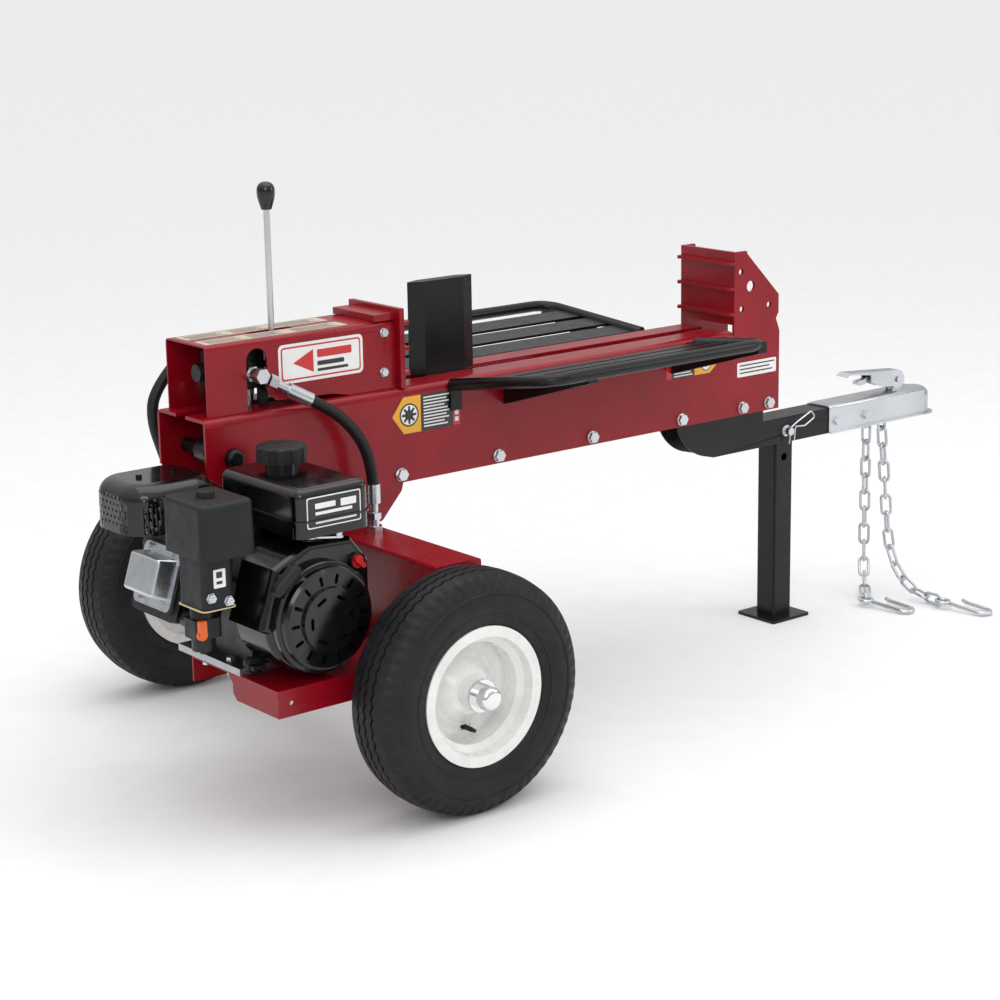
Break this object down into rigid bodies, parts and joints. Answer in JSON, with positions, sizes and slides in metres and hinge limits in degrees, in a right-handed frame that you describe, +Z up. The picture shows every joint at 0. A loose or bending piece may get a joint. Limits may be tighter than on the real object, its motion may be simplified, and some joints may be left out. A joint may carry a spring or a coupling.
{
  "type": "towable log splitter",
  "caption": "Towable hydraulic log splitter: beam with travelling wedge, petrol engine and pump, axle oil tank, log racks, parking leg and ball coupler.",
  "frame": {"origin": "on the ground, at the middle of the machine's length and width", "axes": "+X along the beam from the engine to the hitch, +Z up, -Y is the side the engine's starter faces"},
  "size_m": [2.0646, 1.04, 1.011],
  "materials": {
    "red_paint": "semi-gloss powder coat",
    "black_paint": "gloss black paint",
    "zinc": "bright zinc plate",
    "steel": "machined steel",
    "chrome": "polished chrome",
    "cast_aluminium": "as-cast aluminium",
    "cast_iron": "black painted casting",
    "hose_rubber": "black rubber hose cover",
    "tyre_rubber": "moulded tyre rubber",
    "rim_paint": "off-white enamel",
    "black_plastic": "matt moulded plastic",
    "gloss_black": "gloss moulded plastic",
    "red_plastic": "moulded red plastic",
    "orange_plastic": "moulded orange plastic"
  },
  "bodies": {
    "frame": {"air_cleaner": "black_plastic", "axle": "black_paint", "beam_side_far": "red_paint", "beam_side_near": "red_paint", "blower_housing": "gloss_black", "bolts": "zinc", "carburettor": "cast_aluminium", "coupler": "zinc", "crankcase": "cast_aluminium", "cylinder_barrel": "black_paint", "cylinder_head": "cast_aluminium", "cylinder_pin": "zinc", "engine_plate": "red_paint", "foot_plate": "red_paint", "front_plate": "red_paint", "fuel_tank": "gloss_black", "hose_fittings": "zinc", "hose_pressure": "hose_rubber", "hose_return": "hose_rubber", "leg_pin": "zinc", "log_rack_far": "black_paint", "log_rack_near": "black_paint", "muffler": "steel", "muffler_guard": "black_paint", "oil_cap": "black_plastic", "oil_tank": "red_paint", "pump": "cast_iron", "pump_bracket": "cast_aluminium", "recoil_cover": "gloss_black", "steel_lines": "zinc", "tank_cap": "chrome", "tongue": "black_paint", "valve_body": "cast_iron", "valve_cover": "zinc", "valve_housing": "red_paint"},
    "ram": {"piston_rod": "steel", "carriage": "steel", "wedge": "black_paint"},
    "spool": {"valve_spool": "steel"},
    "lever": {"lever_arm": "zinc", "lever_knob": "gloss_black"},
    "wheel_near": {"tyre_near": "tyre_rubber", "rim_near": "rim_paint", "hub_near": "chrome"},
    "wheel_far": {"tyre_far": "tyre_rubber", "rim_far": "rim_paint", "hub_far": "chrome"},
    "crank": {"crankshaft": "steel"},
    "pull_handle": {"recoil_handle": "black_plastic"},
    "filler_cap": {"fuel_cap": "black_plastic"},
    "fuel_tap": {"fuel_valve_lever": "orange_plastic"},
    "throttle": {"throttle_lever": "zinc"},
    "switch": {"engine_switch": "red_plastic"},
    "parking_leg": {"leg": "black_paint"},
    "latch": {"latch_lever": "zinc"},
    "jaw": {"latch_jaw": "zinc"},
    "safety_chain_near": {"chain_near": "zinc"},
    "safety_chain_far": {"chain_far": "zinc"},
    "safety_hook_near": {"hook_near": "zinc"},
    "safety_hook_far": {"hook_far": "zinc"}
  },
  "joints": [
    {"name": "ram_slide", "type": "slide", "parent": "frame", "child": "ram", "axis": [1, 0, 0], "range_m": [0, 0.525]},
    {"name": "lever_pivot", "type": "hinge", "parent": "frame", "child": "lever", "pos_m": [-0.657, 0, 0.672], "axis": [0, 1, 0], "range_deg": [-18, 18], "stiffness_Nm_per_rad": 8},
    {"name": "spool_slide", "type": "slide", "parent": "frame", "child": "spool", "axis": [1, 0, 0], "range_m": [-0.0105, 0.0105]},
    {"name": "wheel_spin_near", "type": "hinge", "parent": "frame", "child": "wheel_near", "pos_m": [-0.595, -0.446, 0.2065], "axis": [0, 1, 0], "continuous": true},
    {"name": "wheel_spin_far", "type": "hinge", "parent": "frame", "child": "wheel_far", "pos_m": [-0.595, 0.446, 0.2065], "axis": [0, 1, 0], "continuous": true},
    {"name": "crank_spin", "type": "hinge", "parent": "frame", "child": "crank", "pos_m": [-0.813, -0.15, 0.356], "axis": [0, 1, 0], "continuous": true},
    {"name": "starter_pull", "type": "slide", "parent": "frame", "child": "pull_handle", "axis": [0, -1, 0], "range_m": [0, 0.3], "stiffness_N_per_m": 20, "springref_m": -0.02},
    {"name": "fuel_cap_turn", "type": "hinge", "parent": "frame", "child": "filler_cap", "pos_m": [-0.78, -0.205, 0.59], "axis": [0, 0, 1], "range_deg": [0, 90]},
    {"name": "fuel_tap_turn", "type": "hinge", "parent": "frame", "child": "fuel_tap", "pos_m": [-1.002, -0.298, 0.35], "axis": [0, 1, 0], "range_deg": [0, 90]},
    {"name": "throttle_turn", "type": "hinge", "parent": "frame", "child": "throttle", "pos_m": [-0.809, -0.322, 0.48], "axis": [0, 0, 1], "range_deg": [-20, 20]},
    {"name": "switch_turn", "type": "hinge", "parent": "frame", "child": "switch", "pos_m": [-0.738, -0.352, 0.433], "axis": [0, 1, 0], "range_deg": [0, 45]},
    {"name": "leg_fold", "type": "hinge", "parent": "frame", "child": "parking_leg", "pos_m": [0.57, 0, 0.401], "axis": [0, 1, 0], "range_deg": [0, 90]},
    {"name": "latch_lift", "type": "hinge", "parent": "frame", "child": "latch", "pos_m": [0.925, 0, 0.458], "axis": [0, 1, 0], "range_deg": [0, 60]},
    {"name": "jaw_slide", "type": "slide", "parent": "frame", "child": "jaw", "axis": [1, 0, 0], "range_m": [-0.0042, 0]},
    {"name": "chain_swing_near", "type": "hinge", "parent": "frame", "child": "safety_chain_near", "pos_m": [0.867, -0.02, 0.392], "axis": [0, 1, 0], "range_deg": [-15, 0]},
    {"name": "chain_swing_far", "type": "hinge", "parent": "frame", "child": "safety_chain_far", "pos_m": [0.867, 0.02, 0.392], "axis": [0, 1, 0], "range_deg": [0, 15]},
    {"name": "hook_lift_near", "type": "hinge", "parent": "safety_chain_near", "child": "safety_hook_near", "pos_m": [0.867, -0.19418, 0.01504], "axis": [-1, 0, 0], "range_deg": [0, 60]},
    {"name": "hook_lift_far", "type": "hinge", "parent": "safety_chain_far", "child": "safety_hook_far", "pos_m": [0.76721, -0.07979, 0.01438], "axis": [-0.7071, 0.7071, 0], "range_deg": [0, 60]}
  ],
  "couplings": [
    {"joint": "spool_slide", "follows": "lever_pivot", "m_per_rad": 0.03},
    {"joint": "jaw_slide", "follows": "latch_lift", "m_per_rad": -0.0038}
  ]
}
